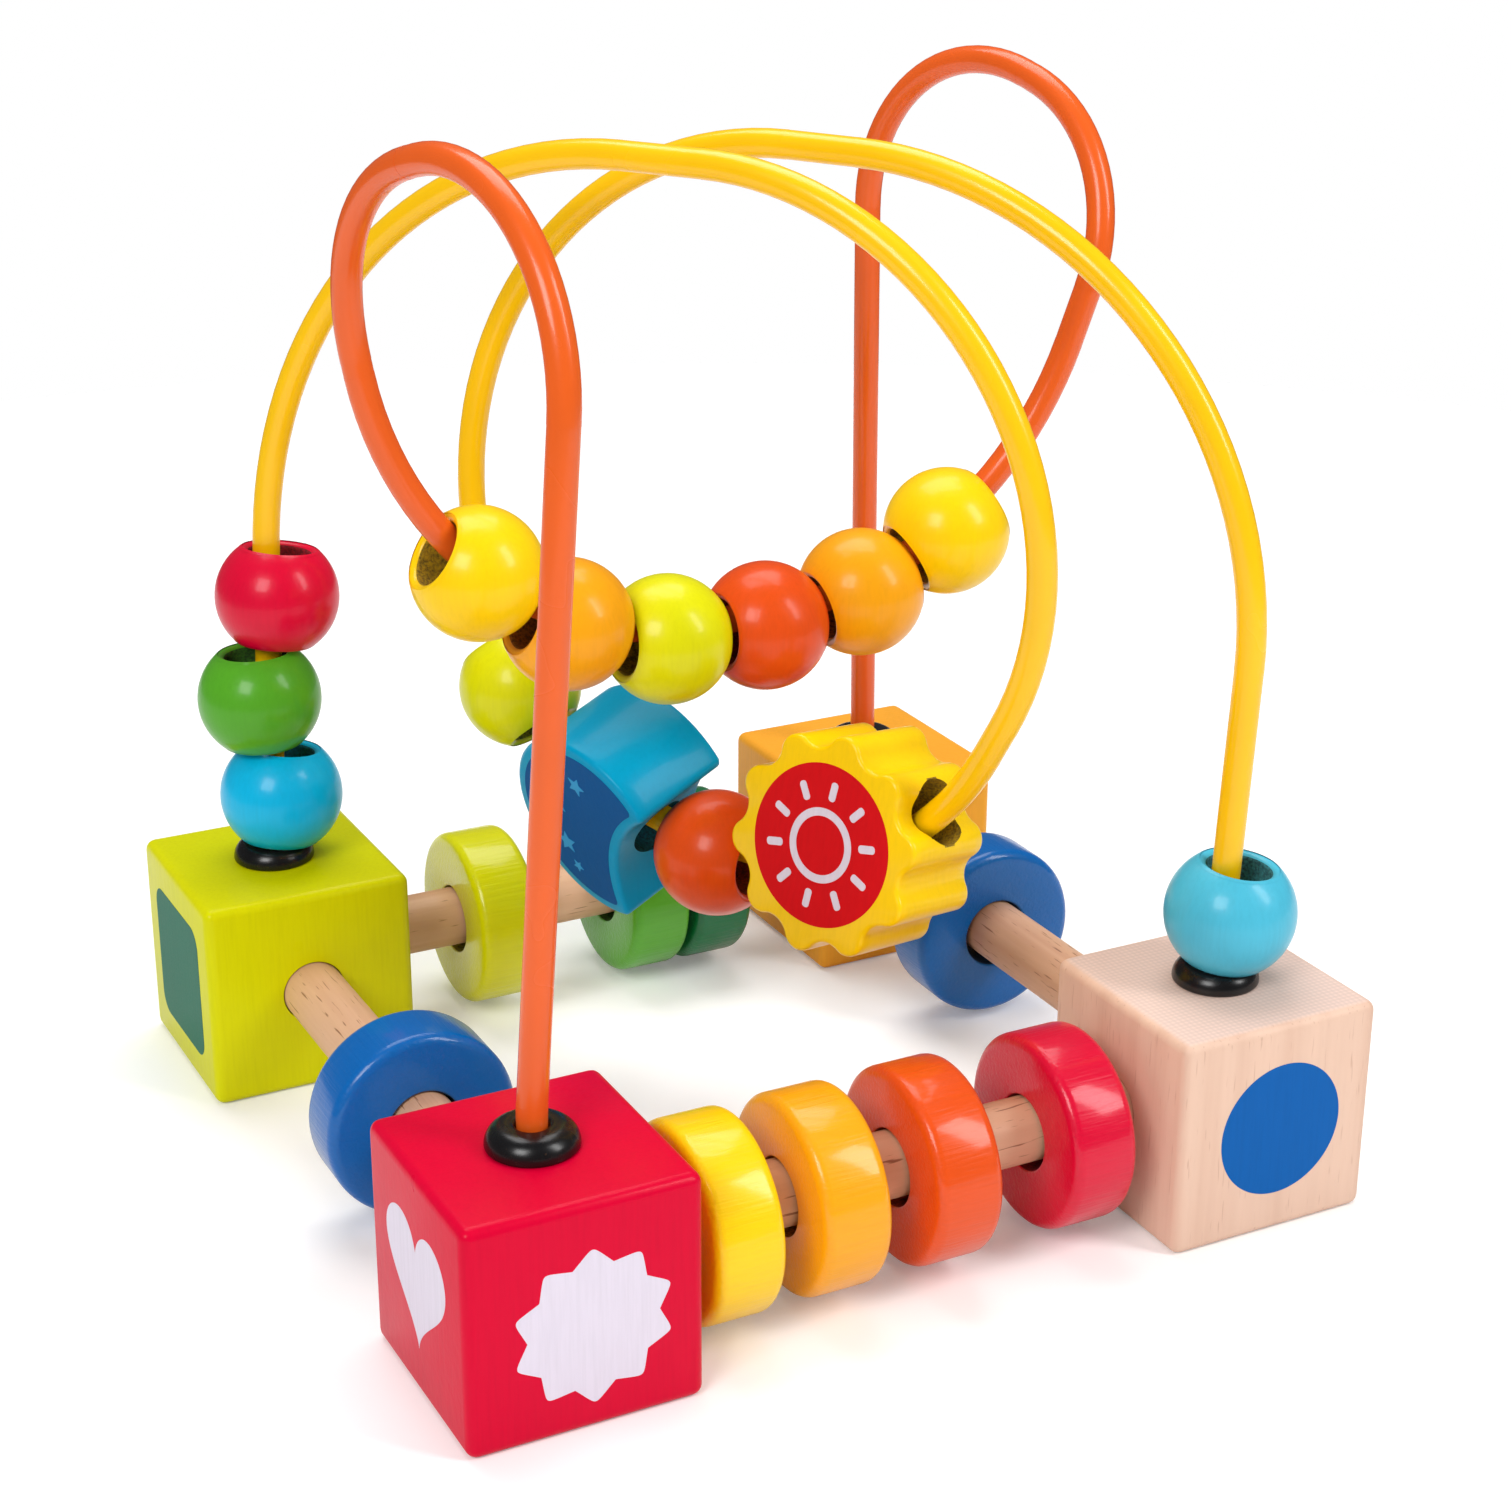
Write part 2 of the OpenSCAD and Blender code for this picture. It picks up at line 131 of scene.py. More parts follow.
NIGHT_TIP_R = 1.2 * MM
STAR_WAIST = 0.48
# Each star's place, size and turn on the moon's panel
STARS = (
    (-9.5, 0.5, 3.2, 0.3),
    (-4.6, 9.6, 2.3, 0.9),
    (-5.2, -9.0, 2.6, 0.1),
    (-12.4, 7.2, 1.5, 0.5),
    (-1.6, -13.4, 1.5, 0.7),
)

# Tolerances for picking rings, end faces, upright bores and the walls of bores
NEAR = 0.1 * MM
UPRIGHT = 0.9
DISC_WALL_R = DISC_BORE_R * 1.02
BEAD_WALL_R = BEAD_BORE_R * 1.03
SHAPE_WALL_R = SHAPE_BORE_R * 1.01
BEAD_INSIDE_R = BEAD_R - 0.3 * MM

# Slots of the blocks, discs and beads
BLOCKS = {
    "block_red": "red_paint",
    "block_lime": "lime_paint",
    "block_orange": "orange_paint",
    "block_natural": "bare_beech",
}
DISCS = {
    "disc_front_yellow": "yellow_paint",
    "disc_front_amber": "amber_paint",
    "disc_front_orange": "vermilion_paint",
    "disc_front_red": "red_paint",
    "disc_left_blue": "blue_paint",
    "disc_right_blue": "blue_paint",
    "disc_back_lime": "lime_paint",
    "disc_back_green": "green_paint",
    "disc_back_dark": "dark_green_paint",
}
SIDE_DISCS = ("disc_left_blue", "disc_right_blue")
BEADS = {
    "bead_top_yellow_a": "yellow_paint",
    "bead_top_amber_a": "amber_paint",
    "bead_top_lime": "lime_paint",
    "bead_top_vermilion": "vermilion_paint",
    "bead_top_amber_b": "amber_paint",
    "bead_top_yellow_b": "yellow_paint",
    "bead_stack_cyan": "cyan_paint",
    "bead_stack_green": "green_paint",
    "bead_stack_red": "red_paint",
    "bead_low_lime": "lime_paint",
    "bead_low_orange": "vermilion_paint",
    "bead_corner_cyan": "cyan_paint",
}
# Beads whose paint differs a little from their slot's
BEAD_TINTS = {"bead_top_lime": "lime_bead", "bead_low_lime": "lime_bead", "bead_corner_cyan": "pale_cyan"}


# Colours as they look on the painted wood
def linear(level):
    share = level / 255
    return ((share + 0.055) / 1.055) ** 2.4 if level > 10 else share / 12.92


def tint(r, g, b):
    return linear(r), linear(g), linear(b), 1.0


def shade(colour, share):
    return tuple(min(1.0, c * share) for c in colour[:3]) + (1.0,)


BLACK = (0, 0, 0, 1)
WHITE = (1, 1, 1, 1)
PAINTS = {
    "red_paint": tint(217, 0, 50),
    "orange_paint": tint(250, 172, 52),
    "lime_paint": tint(216, 215, 0),
    "lime_bead": tint(224, 224, 0),
    "yellow_paint": tint(255, 210, 0),
    "amber_paint": tint(248, 168, 12),
    "vermilion_paint": tint(230, 80, 16),
    "blue_paint": tint(0, 98, 176),
    "green_paint": tint(84, 166, 36),
    "dark_green_paint": tint(0, 108, 58),
    "cyan_paint": tint(0, 184, 232),
    "pale_cyan": tint(76, 186, 214),
    "moon_blue": tint(0, 158, 204),
}


# Node helpers
def new_material(name):
    material = bpy.data.materials.new(name)
    material.use_nodes = True
    tree = material.node_tree
    return material, tree, tree.nodes["Principled BSDF"]


def fill(made, sockets):
    for name, value in sockets.items():
        made.inputs[name].default_value = value


def node(tree, kind, sockets=None, **settings):
    made = tree.nodes.new(kind)
    for name, value in settings.items():
        setattr(made, name, value)
    fill(made, sockets or {})
    return made


def object_space(tree):
    return node(tree, "ShaderNodeTexCoord").outputs["Object"]


def grain_space(tree, along, across, lengthwise=None):
    # Object coordinates squeezed so that a noise runs along one axis
    scale = [across, across, across]
    scale["XYZ".index(along)] = lengthwise or across * 0.06
    mapping = node(tree, "ShaderNodeMapping", {"Scale": scale})
    tree.links.new(object_space(tree), mapping.inputs["Vector"])
    return mapping.outputs["Vector"]


def noise(tree, vector, scale, detail):
    made = node(tree, "ShaderNodeTexNoise", {"Scale": scale, "Detail": detail, "Roughness": 0.55})
    tree.links.new(vector, made.inputs["Vector"])
    return made.outputs["Fac"]


def ramp(tree, field, stops):
    made = node(tree, "ShaderNodeValToRGB")
    elements = made.color_ramp.elements
    while len(elements) < len(stops):
        elements.new(0.5)
    for element, (position, colour) in zip(elements, stops):
        element.position = position
        element.color = colour
    tree.links.new(field, made.inputs["Fac"])
    return made.outputs["Color"]


def between(tree, field, low, high):
    made = node(tree, "ShaderNodeMapRange", {"To Min": low, "To Max": high})
    tree.links.new(field, made.inputs["Value"])
    return made.outputs["Result"]


# Places of the colour sockets on a Mix node
MIX_SHARE, MIX_FIRST, MIX_SECOND, MIX_COLOUR = 0, 6, 7, 2


def blend_colours(tree, share, first, second):
    made = node(tree, "ShaderNodeMix", data_type="RGBA")
    for value, place in ((share, MIX_SHARE), (first, MIX_FIRST), (second, MIX_SECOND)):
        if hasattr(value, "is_output"):
            tree.links.new(value, made.inputs[place])
        else:
            made.inputs[place].default_value = value
    return made.outputs[MIX_COLOUR]


def relief(tree, shader, heights):
    # Chains height fields, each (field, strength, depth in metres), into one normal
    last = None
    for field, strength, depth in heights:
        bump = node(tree, "ShaderNodeBump", {"Strength": strength, "Distance": depth})
        tree.links.new(field, bump.inputs["Height"])
        if last is not None:
            tree.links.new(last, bump.inputs["Normal"])
        last = bump.outputs["Normal"]
    tree.links.new(last, shader.inputs["Normal"])


# Gloss paint over wood: faint grain, slow mottling and a lumpy brushed skin
def painted_wood(name, colour, along="Z", grain_lift=0.12, coat=0.18, gleam=0.20):
    material, tree, shader = new_material(name)
    plain = object_space(tree)
    grain = noise(tree, grain_space(tree, along, 1500), scale=1.0, detail=4.0)
    cloud = noise(tree, plain, scale=55.0, detail=2.0)
    skin = noise(tree, plain, scale=520.0, detail=2.0)
    streaked = ramp(tree, grain, [(0.30, shade(colour, 0.95)), (0.55, colour), (0.85, shade(colour, 1.02))])
    mottled = blend_colours(tree, between(tree, cloud, 0.0, 0.18), streaked, shade(colour, 0.86))
    tree.links.new(mottled, shader.inputs["Base Color"])
    tree.links.new(between(tree, cloud, 0.24, 0.38), shader.inputs["Roughness"])
    relief(tree, shader, [(grain, grain_lift, 0.15 * MM), (skin, 0.13, 0.3 * MM)])
    fill(shader, {"Specular IOR Level": gleam, "Coat Weight": coat, "Coat Roughness": 0.12})
    return material


# End grain on top of a block: pinker, with crossed saw marks
def end_grain(tree, side_colour, pale):
    coord = node(tree, "ShaderNodeTexCoord")
    split = node(tree, "ShaderNodeSeparateXYZ")
    tree.links.new(coord.outputs["Normal"], split.inputs[0])
    top = node(tree, "ShaderNodeMapRange", {"From Min": 0.85})
    tree.links.new(split.outputs["Z"], top.inputs["Value"])
    sawn = pale
    for way in "XY":
        marks = node(tree, "ShaderNodeTexWave", {"Scale": 300.0, "Distortion": 1.2}, bands_direction=way)
        tree.links.new(coord.outputs["Object"], marks.inputs["Vector"])
        sawn = blend_colours(tree, between(tree, marks.outputs["Fac"], 0.0, 0.65), sawn, shade(pale, 0.82))
    return blend_colours(tree, top.outputs["Result"], side_colour, sawn)


# Bare beech: growth bands, fine fibres and short dark flecks
def bare_beech(name, pale, deep, fleck, along="Z", end=None):
    material, tree, shader = new_material(name)
    fibre = noise(tree, grain_space(tree, along, 1000), scale=1.0, detail=4.0)
    bands = noise(tree, grain_space(tree, along, 170, 6.0), scale=1.0, detail=3.0)
    dashes = noise(tree, grain_space(tree, along, 1900, 150.0), scale=1.0, detail=1.0)
    body = ramp(tree, bands, [(0.30, deep), (0.52, pale), (0.75, shade(pale, 1.05))])
    fibred = blend_colours(tree, between(tree, fibre, 0.0, 0.45), body, deep)
    colour = blend_colours(tree, ramp(tree, dashes, [(0.66, BLACK), (0.74, WHITE)]), fibred, fleck)
    if end:
        colour = end_grain(tree, colour, end)
    tree.links.new(colour, shader.inputs["Base Color"])
    tree.links.new(between(tree, fibre, 0.42, 0.62), shader.inputs["Roughness"])
    relief(tree, shader, [(fibre, 0.30, 0.15 * MM), (dashes, 0.25, 0.1 * MM)])
    return material


# Inside of a drilled bore: raw fibres with paint that ran in, darkened with painted shade for the recess
def bore_fibres_and_painted_shade(name, colour):
    material, tree, shader = new_material(name)
    fuzz = noise(tree, object_space(tree), scale=1800.0, detail=4.0)
    brown = tuple(c * share for c, share in zip(colour[:3], (0.42, 0.40, 0.34))) + (1.0,)
    # The darkest stop is painted shade of the recess; the brown and half-tone stops are fibres and run-in
    # paint
    mixed = ramp(tree, fuzz, [(0.35, shade(colour, 0.14)), (0.60, brown), (0.82, shade(colour, 0.5))])
    tree.links.new(mixed, shader.inputs["Base Color"])
    fill(shader, {"Roughness": 0.85})
    relief(tree, shader, [(fuzz, 0.5, 0.3 * MM)])
    return material


# Smooth plastic coat on the bent steel
def wire_coat(name, colour):
    material, tree, shader = new_material(name)
    slow = noise(tree, object_space(tree), scale=40.0, detail=2.0)
    peel = noise(tree, object_space(tree), scale=900.0, detail=2.0)
    toned = ramp(tree, slow, [(0.35, shade(colour, 0.94)), (0.65, colour)])
    tree.links.new(toned, shader.inputs["Base Color"])
    tree.links.new(between(tree, slow, 0.20, 0.32), shader.inputs["Roughness"])
    relief(tree, shader, [(peel, 0.06, 0.2 * MM)])
    fill(shader, {"Specular IOR Level": 0.35, "Coat Weight": 0.2, "Coat Roughness": 0.08})
    return material


# Moulded black grommets with dust specks
def black_rubber(name):
    material, tree, shader = new_material(name)
    dust = noise(tree, object_space(tree), scale=1400.0, detail=2.0)
    slow = noise(tree, object_space(tree), scale=220.0, detail=2.0)
    dusty = ramp(tree, dust, [(0.70, tint(16, 16, 18)), (0.78, tint(70, 52, 34))])
    tree.links.new(dusty, shader.inputs["Base Color"])
    tree.links.new(between(tree, slow, 0.18, 0.34), shader.inputs["Roughness"])
    relief(tree, shader, [(slow, 0.10, 0.2 * MM)])
    return material


# Screen-printed paint: thin, a little duller, with the grain showing through
def print_paint(name, colour):
    material, tree, shader = new_material(name)
    grain = noise(tree, grain_space(tree, "Z", 1300), scale=1.0, detail=3.0)
    speck = noise(tree, object_space(tree), scale=2600.0, detail=2.0)
    streaked = ramp(tree, grain, [(0.30, shade(colour, 0.94)), (0.60, colour)])
    tree.links.new(streaked, shader.inputs["Base Color"])
    tree.links.new(between(tree, speck, 0.34, 0.50), shader.inputs["Roughness"])
    relief(tree, shader, [(grain, 0.18, 0.1 * MM)])
    fill(shader, {"Specular IOR Level": 0.08})
    return material


# Paint by the pieces that wear it: round beads, glossy discs, flat-sided blocks, and the bores
bead_skins = {name: BEAD_TINTS.get(name, slot) for name, slot in BEADS.items()}
disc_slots = set(DISCS.values())
side_slots = {DISCS[name] for name in SIDE_DISCS}
flat_slots = set(BLOCKS.values()) | {"moon_blue"}
bore_slots = disc_slots | set(bead_skins.values()) | {"moon_blue"}
GLOSS = {"grain_lift": 0.9, "coat": 0.45}
FLAT = {"coat": 0.06, "gleam": 0.08}
bead_paint = {}
disc_paint = {}
flat_paint = {}
bore_skin = {}
for slot, colour in PAINTS.items():
    if slot in bead_skins.values():
        bead_paint[slot] = painted_wood(slot, colour)
    if slot in disc_slots:
        disc_along = "Y" if slot in side_slots else "X"
        disc_paint[slot] = painted_wood(slot + "_" + disc_along.lower(), colour, disc_along, **GLOSS)
    if slot in flat_slots:
        flat_paint[slot] = painted_wood(slot + "_flat", colour, **FLAT)
    if slot in bore_slots:
        bore_skin[slot] = bore_fibres_and_painted_shade(slot + "_bore", colour)

beech_block = bare_beech(
    "beech_block", tint(232, 196, 173), tint(222, 182, 158), tint(213, 172, 148), end=tint(238, 207, 193))
RAIL_TINTS = (tint(222, 177, 143), tint(202, 152, 120), tint(150, 102, 74))
beech_x = bare_beech("beech_rail_x", *RAIL_TINTS, "X")
beech_y = bare_beech("beech_rail_y", *RAIL_TINTS, "Y")
grommet_black = black_rubber("grommet_black")
coat_orange = wire_coat("coat_orange", tint(234, 96, 26))
coat_yellow = wire_coat("coat_yellow", tint(255, 200, 0))
white_print = print_paint("white_print", tint(226, 218, 232))
blue_print = print_paint("blue_print", tint(8, 94, 172))
green_print = print_paint("green_print", tint(20, 108, 84))
red_print = print_paint("red_print", tint(214, 14, 22))
night_print = print_paint("night_print", tint(0, 86, 154))
pale_print = print_paint("pale_print", tint(60, 160, 215))


# Modelling helpers
def deselect():
    bpy.ops.object.select_all(action="DESELECT")


def alone(piece):
    deselect()
    piece.select_set(True)
    bpy.context.view_layer.objects.active = piece


def fresh(name):
    piece = bpy.context.active_object
    piece.name = name
    piece.data.name = name
    return piece


def start_edit(select="DESELECT"):
    bpy.ops.object.mode_set(mode="EDIT")
    bpy.ops.mesh.select_all(action=select)


def end_edit():
    bpy.ops.object.mode_set(mode="OBJECT")


def pick_faces(piece, wanted):
    start_edit()
    bpy.ops.mesh.select_mode(type="FACE")
    end_edit()
    for face in piece.data.polygons:
        face.select = wanted(face)
    bpy.ops.object.mode_set(mode="EDIT")


def pick_edges(piece, wanted):
    start_edit()
    bpy.ops.mesh.select_mode(type="EDGE")
    end_edit()
    points = piece.data.vertices
    for edge in piece.data.edges:
        edge.select = wanted(points[edge.vertices[0]].co, points[edge.vertices[1]].co)
    bpy.ops.object.mode_set(mode="EDIT")


def round_ring(piece, radius, heights, width, segments):
    # Rounds the edges of the rings that have this radius and lie at these heights
    def on_ring(point):
        return abs(point.xy.length - radius) < NEAR and any(abs(point.z - z) < NEAR for z in heights)

    pick_edges(piece, lambda a, b: abs(a.z - b.z) < NEAR and on_ring(a) and on_ring(b))
    bpy.ops.mesh.bevel(offset=width, segments=segments, affect="EDGES")
    end_edit()


def bore_ends(piece, wall):
    # Opens both flat ends of a round, a wall's width in, and joins the openings with a bore
    pick_faces(piece, lambda face: abs(face.normal.z) > UPRIGHT)
    bpy.ops.mesh.inset(thickness=wall)
    bpy.ops.mesh.delete(type="FACE")
    start_edit()
    bpy.ops.mesh.select_mode(type="EDGE")
    bpy.ops.mesh.select_non_manifold()
    bpy.ops.mesh.bridge_edge_loops()
    end_edit()


def apply(piece, kind, **settings):
    alone(piece)
    modifier = piece.modifiers.new(kind.lower(), kind)
    for name, value in settings.items():
        setattr(modifier, name, value)
    bpy.ops.object.modifier_apply(modifier=modifier.name)


def cut(piece, tool):
    apply(piece, "BOOLEAN", operation="DIFFERENCE", object=tool, solver="EXACT")
    bpy.data.objects.remove(tool)


def smooth(piece, degrees):
    alone(piece)
    bpy.ops.object.shade_smooth_by_angle(angle=math.radians(degrees))


def settle(piece, place):
    # Puts the piece in its place with the place held in its mesh
    piece.matrix_world = place
    alone(piece)
    bpy.ops.object.transform_apply(location=True, rotation=True, scale=True)


def copy_of(master, name):
    piece = master.copy()
    piece.data = master.data.copy()
    piece.name = name
    piece.data.name = name
    bpy.context.scene.collection.objects.link(piece)
    return piece


def dress(piece, *materials):
    piece.data.materials.clear()
    for material in materials:
        piece.data.materials.append(material)


def paint_with_bore(piece, skin, inner, in_bore):
    # The drilled wall takes the second material
    dress(piece, skin, inner)
    for face in piece.data.polygons:
        face.material_index = 1 if in_bore(face.center) else 0


def axes_at(centre, z, x):
    # A place whose Z is given and whose X lies as near as can be to the one given
    u = (x - x.dot(z) * z).normalized()
    v = z.cross(u)
    return Matrix((
        (u.x, v.x, z.x, centre.x),
        (u.y, v.y, z.y, centre.y),
        (u.z, v.z, z.z, centre.z),
        (0, 0, 0, 1),
    ))


def seat(piece, body, replaced=None):
    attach(piece, body)
    if replaced:
        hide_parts(replaced)


# Corner blocks: cubes with softened edges, drilled for the rails
def corner_block(name, material):
    centre = centre_of(name)
    deselect()
    bpy.ops.mesh.primitive_cube_add(size=BLOCK)
    piece = fresh(name + "_soft")
    apply(piece, "BEVEL", width=BLOCK_EDGE, segments=5, limit_method="NONE")
    for axis, turn in ((0, (0, math.pi / 2, 0)), (1, (math.pi / 2, 0, 0))):
        spot = [0, 0, 0]
        spot[axis] = math.copysign(BLOCK / 2, -centre[axis])
        bpy.ops.mesh.primitive_cylinder_add(
            vertices=64, radius=RAIL_R + RAIL_ROOM, depth=RAIL_DRILL, location=spot, rotation=turn)
        cut(piece, fresh("drill"))
    smooth(piece, 30)
    dress(piece, material)
    settle(piece, Matrix.Translation(centre))
    seat(piece, "frame", name)


for name, slot in BLOCKS.items():
    corner_block(name, flat_paint.get(slot, beech_block))


# Grommets: glossy domes that fall in a quarter round, with a shallow inner lip round the wire
def grommet_master():
    deselect()
    bpy.ops.mesh.primitive_cylinder_add(vertices=72, radius=GROMMET_R, depth=GROMMET_H)
    piece = fresh("grommet_master")
    top, bottom = GROMMET_H / 2, -GROMMET_H / 2
    bore_ends(piece, GROMMET_R - GROMMET_HOLE_R)
    round_ring(piece, GROMMET_R, [top], GROMMET_DOME, 10)
    round_ring(piece, GROMMET_HOLE_R, [top], GROMMET_LIP, 4)
    round_ring(piece, GROMMET_R, [bottom], GROMMET_FOOT, 3)
    smooth(piece, 50)
    return piece


grommet = grommet_master()
for corner in ("red", "natural", "orange", "lime"):
    foot = centre_of("block_" + corner)
    dome = copy_of(grommet, "grommet_" + corner + "_dome")
    dress(dome, grommet_black)
    settle(dome, Matrix.Translation((foot.x, foot.y, BLOCK + GROMMET_H / 2)))
    seat(dome, "frame", "grommet_" + corner)
bpy.data.objects.remove(grommet)


# Sliding discs: turned rounds with softened rims and a drilled bore
def disc_master():
    ends = [DISC_T / 2, -DISC_T / 2]
    deselect()
    bpy.ops.mesh.primitive_cylinder_add(vertices=96, radius=DISC_R, depth=DISC_T)
    piece = fresh("disc_master")
    bore_ends(piece, DISC_R - DISC_BORE_R)
    round_ring(piece, DISC_R, ends, DISC_RIM, 5)
    round_ring(piece, DISC_BORE_R, ends, DISC_MOUTH, 3)
    smooth(piece, 40)
    return piece


turned = disc_master()
for name, slot in DISCS.items():
    disc = copy_of(turned, name + "_turned")
    paint_with_bore(disc, disc_paint[slot], bore_skin[slot], lambda p: p.xy.length < DISC_WALL_R)
    turn = Matrix.Rotation(math.pi / 2, 4, "X" if name in SIDE_DISCS else "Y")
    settle(disc, Matrix.Translation(centre_of(name)) @ turn)
    seat(disc, name, name)
bpy.data.objects.remove(turned)


# Round beads: spheres cut flat at both poles, bored through, with eased mouths
def bead_master():
    half = math.sqrt(BEAD_R ** 2 - BEAD_MOUTH_R ** 2)
    inner = half - BEAD_MOUTH_DEPTH
    narrow = BEAD_BORE_R / BEAD_MOUTH_R
    deselect()
    bpy.ops.mesh.primitive_uv_sphere_add(segments=72, ring_count=48, radius=BEAD_R)
    piece = fresh("bead_master")
    for way in (1, -1):
        start_edit("SELECT")
        bpy.ops.mesh.bisect(plane_co=(0, 0, way * half), plane_no=(0, 0, way), clear_outer=True)
        end_edit()
    start_edit()
    bpy.ops.mesh.select_mode(type="EDGE")
    bpy.ops.mesh.select_non_manifold()
    bpy.ops.mesh.extrude_region_move()
    bpy.ops.transform.resize(value=(narrow, narrow, inner / half))
    bpy.ops.mesh.bridge_edge_loops()
    end_edit()
    round_ring(piece, BEAD_MOUTH_R, [half, -half], BEAD_LIP, 5)
    round_ring(piece, BEAD_BORE_R, [inner, -inner], BEAD_INNER_LIP, 3)
    smooth(piece, 50)
    return piece


def bore_line(name):
    # The bore's end rings lie inside the bead's round, so they give its direction
    centre = centre_of(name)
    offsets = [point.co - centre for point in nodes[name].data.vertices]
    ends = [offset for offset in offsets if offset.length < BEAD_INSIDE_R]
    first = max(ends, key=lambda offset: offset.length)
    upper = [offset for offset in ends if offset.dot(first) > 0]
    return centre, sum(upper, Vector()).normalized()


round_bead = bead_master()
for name, slot in BEADS.items():
    centre, line = bore_line(name)
    bead = copy_of(round_bead, name + "_round")
    skin = bead_skins[name]
    paint_with_bore(bead, bead_paint[skin], bore_skin[skin], lambda p: p.xy.length < BEAD_WALL_R)
    side = UP if abs(line.z) < UPRIGHT else Vector((1, 0, 0))
    settle(bead, axes_at(centre, line, side))
    seat(bead, name, name)
bpy.data.objects.remove(round_bead)


# Outlines of the shaped blocks and prints
def flat_round(name, radius, count):
    deselect()
    bpy.ops.mesh.primitive_circle_add(vertices=count, radius=radius, fill_type="NGON")
    return fresh(name)


def thicken(piece, depth, edge, segments, steps):
    # Extrudes a flat outline, centres it and eases both rims
    alone(piece)
    start_edit("SELECT")
    for _ in range(steps):
        bpy.ops.mesh.extrude_region_move(TRANSFORM_OT_translate={"value": (0, 0, depth / steps)})
    bpy.ops.mesh.select_all(action="SELECT")
    bpy.ops.mesh.normals_make_consistent(inside=False)
    bpy.ops.transform.translate(value=(0, 0, -depth / 2))
    end_edit()
    pick_edges(piece, lambda a, b: abs(a.z - b.z) < depth * 0.1 and abs(a.z) > depth * 0.45)
    bpy.ops.mesh.bevel(offset=edge, segments=segments, affect="EDGES")
    end_edit()
    smooth(piece, 40)


def finish_shape(piece, rim, skin, inner, place):
    # Gives a shaped block its thickness, its bore along X and its paint
    thicken(piece, SHAPE_T, rim, segments=3, steps=7)
    deselect()
    bpy.ops.mesh.primitive_cylinder_add(
        vertices=96, radius=SHAPE_BORE_R, depth=SHAPE_DRILL, rotation=(0, math.pi / 2, 0))
    cut(piece, fresh("drill"))
    paint_with_bore(piece, skin, inner, lambda p: p.yz.length < SHAPE_WALL_R)
    smooth(piece, 35)
    settle(piece, place)


def face_axis(bore, roll):
    # Direction of a shaped block's face, turned about its bore
    side = bore.cross(UP).normalized()
    above = side.cross(bore)
    return math.cos(roll) * side + math.sin(roll) * above


# Sun block: scalloped round with eased rims, bored along the wire
def scallop(turn):
    # Distance to a ring of round lobes that run into round notches
    lobe = SUN_R - SUN_LOBE_R
    waist = SUN_R - SUN_NOTCH
    step = math.pi / SUN_LOBES
    k = math.cos(step)
    notch_r = lobe ** 2 + waist ** 2 - 2 * lobe * waist * k - SUN_LOBE_R ** 2
    notch_r /= 2 * (SUN_LOBE_R - waist + lobe * k)
    hollow = waist + notch_r
    off = abs((turn + step) % (2 * step) - step)
    share = SUN_LOBE_R / (SUN_LOBE_R + notch_r)
    touch = math.atan2(share * hollow * math.sin(step), lobe + share * (hollow * k - lobe))
    if off < touch:
        return lobe * math.cos(off) + math.sqrt(SUN_LOBE_R ** 2 - (lobe * math.sin(off)) ** 2)
    rest = step - off
    return hollow * math.cos(rest) - math.sqrt(notch_r ** 2 - (hollow * math.sin(rest)) ** 2)


sun_place = axes_at(centre_of("sun"), face_axis(SUN_BORE, SUN_ROLL), -SUN_BORE)
sun = flat_round("sun_scalloped", SUN_R, 400)
for point in sun.data.vertices:
    angle = math.atan2(point.co.y, point.co.x) - math.pi / SUN_LOBES
    point.co = point.co.normalized() * scallop(angle)
finish_shape(sun, SUN_RIM, bead_paint["yellow_paint"], bore_skin["yellow_paint"], sun_place)
seat(sun, "sun", "sun")


# Moon block: crescent with blunt tips and eased rims
def arc(centre, radius, start, end, step=0.25 * MM):
    count = max(3, round(abs(end - start) * radius / step))
    angles = [start + (end - start) * i / count for i in range(count)]
    return [centre + radius * Vector((math.cos(angle), math.sin(angle), 0)) for angle in angles]


def crescent(name, inset, tip_r):
    # Outer arc, a round tip, the bite and the other round tip
    radius = MOON_R - inset
    bite_r = MOON_BITE_R + inset
    bite = Vector((MOON_R - MOON_BITE + MOON_BITE_R, 0, 0))
    x = ((radius - tip_r) ** 2 - (bite_r + tip_r) ** 2 + bite.x ** 2) / (2 * bite.x)
    upper = Vector((x, math.sqrt((radius - tip_r) ** 2 - x * x), 0))
    lower = Vector((x, -upper.y, 0))
    out = math.atan2(upper.y, upper.x)
    back = math.atan2(upper.y, upper.x - bite.x)
    outline = arc(Vector(), radius, out, 2 * math.pi - out)
    outline += arc(lower, tip_r, -out, math.pi - back)
    outline += arc(bite, bite_r, 2 * math.pi - back, back)
    outline += arc(upper, tip_r, back - math.pi, out)
    piece = flat_round(name, radius, len(outline))
    for point, spot in zip(piece.data.vertices, outline):
        point.co = spot
    return piece


moon_bore = Vector(joints["moon_roll"]["axis"])
moon_centre = Vector(joints["moon_roll"]["pos_m"])
moon_place = axes_at(moon_centre, face_axis(moon_bore, MOON_ROLL), -moon_bore)
moon = crescent("moon_crescent", 0, MOON_TIP_R)
finish_shape(moon, MOON_RIM, flat_paint["moon_blue"], bore_skin["moon_blue"], moon_place)
seat(moon, "moon", "moon")


# Prints: thin skins of paint that stand a hair proud of the wood
def lay_print(piece, place, body, material):
    thicken(piece, FILM, FILM_EDGE, segments=1, steps=1)
    dress(piece, material)
    settle(piece, place)
    seat(piece, body)


def on_face(name, out, spot=(0, 0, 0)):
    # Place on the middle of a block's face, its Z outward and its Y up, moved by spot
    z = Vector(out)
    middle = centre_of(name) + z * (BLOCK / 2 - FILM_SINK)
    return axes_at(middle, z, UP.cross(z)) @ Matrix.Translation(spot)


